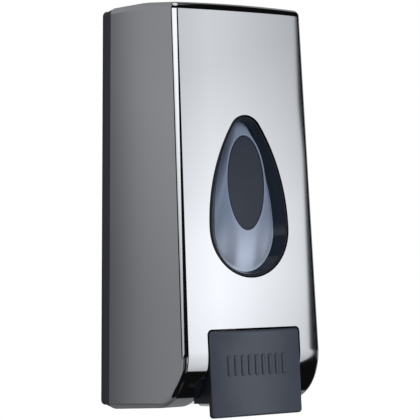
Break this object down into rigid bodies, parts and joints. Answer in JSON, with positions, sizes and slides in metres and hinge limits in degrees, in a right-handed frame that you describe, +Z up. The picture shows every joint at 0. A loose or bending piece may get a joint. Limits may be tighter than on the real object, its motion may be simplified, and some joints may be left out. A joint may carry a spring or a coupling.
{
  "type": "wall-mounted lever soap dispenser",
  "caption": "Wall-mounted liquid soap dispenser: a hinged plated cover with a teardrop sight window and a push lever that works a sprung pump under a refillable tank.",
  "frame": {"origin": "centre of the wall screw pattern on the wall face, at mid height", "axes": "+Z up, +Y into the wall, +X to the right of a person facing the dispenser"},
  "size_m": [0.091, 0.079, 0.2128],
  "materials": {
    "plated_cover": "polished",
    "plate_plastic": "satin",
    "lever_plastic": "satin",
    "window_plastic": "gloss",
    "sight_smoke": "gloss",
    "tank_plastic": "gloss",
    "lid_plastic": "satin",
    "pump_plastic": "satin",
    "nut_plastic": "satin",
    "seal_rubber": "matte",
    "silicone": "satin",
    "steel": "satin"
  },
  "bodies": {
    "wall_base": {"back_plate": "plate_plastic", "soap_tank": "tank_plastic", "pump_body": "pump_plastic", "pump_nut": "nut_plastic", "inlet_washer": "seal_rubber", "inlet_seat": "steel", "gland_cap": "nut_plastic", "return_spring": "steel", "nozzle": "pump_plastic", "outlet_valve": "silicone", "hinge_pins": "steel"},
    "tank_lid": {"tank_lid": "lid_plastic", "lid_gasket": "seal_rubber"},
    "valve_ball": {"valve_ball": "steel"},
    "plunger": {"plunger": "pump_plastic", "piston_seal": "seal_rubber"},
    "lock_bolt": {"lock_bolt": "steel"},
    "cover": {"front_cover": "plated_cover", "window_dish": "window_plastic", "sight_glass": "sight_smoke", "window_gasket": "seal_rubber", "window_clips": "steel", "lever_pin": "steel", "pin_clips": "steel"},
    "push_lever": {"push_lever": "lever_plastic"}
  },
  "joints": [
    {"name": "cover_hinge", "type": "hinge", "parent": "wall_base", "child": "cover", "pos_m": [0, -0.0125, -0.10179], "axis": [1, 0, 0], "range_deg": [0, 80]},
    {"name": "lever_pivot", "type": "hinge", "parent": "cover", "child": "push_lever", "pos_m": [0, -0.06571, -0.056], "axis": [1, 0, 0], "range_deg": [0, 15], "stiffness_Nm_per_rad": 0.7, "springref_deg": -3.72},
    {"name": "plunger_slide", "type": "slide", "parent": "wall_base", "child": "plunger", "axis": [0, 1, 0], "range_m": [0, 0.0082], "deforming": ["return_spring"]},
    {"name": "lid_lift", "type": "slide", "parent": "wall_base", "child": "tank_lid", "axis": [0, 0, 1], "range_m": [0, 0.012]},
    {"name": "lock_slide", "type": "slide", "parent": "wall_base", "child": "lock_bolt", "axis": [0, 0, 1], "range_m": [0, 0.0035]},
    {"name": "inlet_ball_lift", "type": "slide", "parent": "wall_base", "child": "valve_ball", "axis": [0, 0, 1], "range_m": [0, 0.0016]}
  ],
  "couplings": [
    {"joint": "plunger_slide", "follows": "lever_pivot", "m_per_rad": 0.0309}
  ]
}
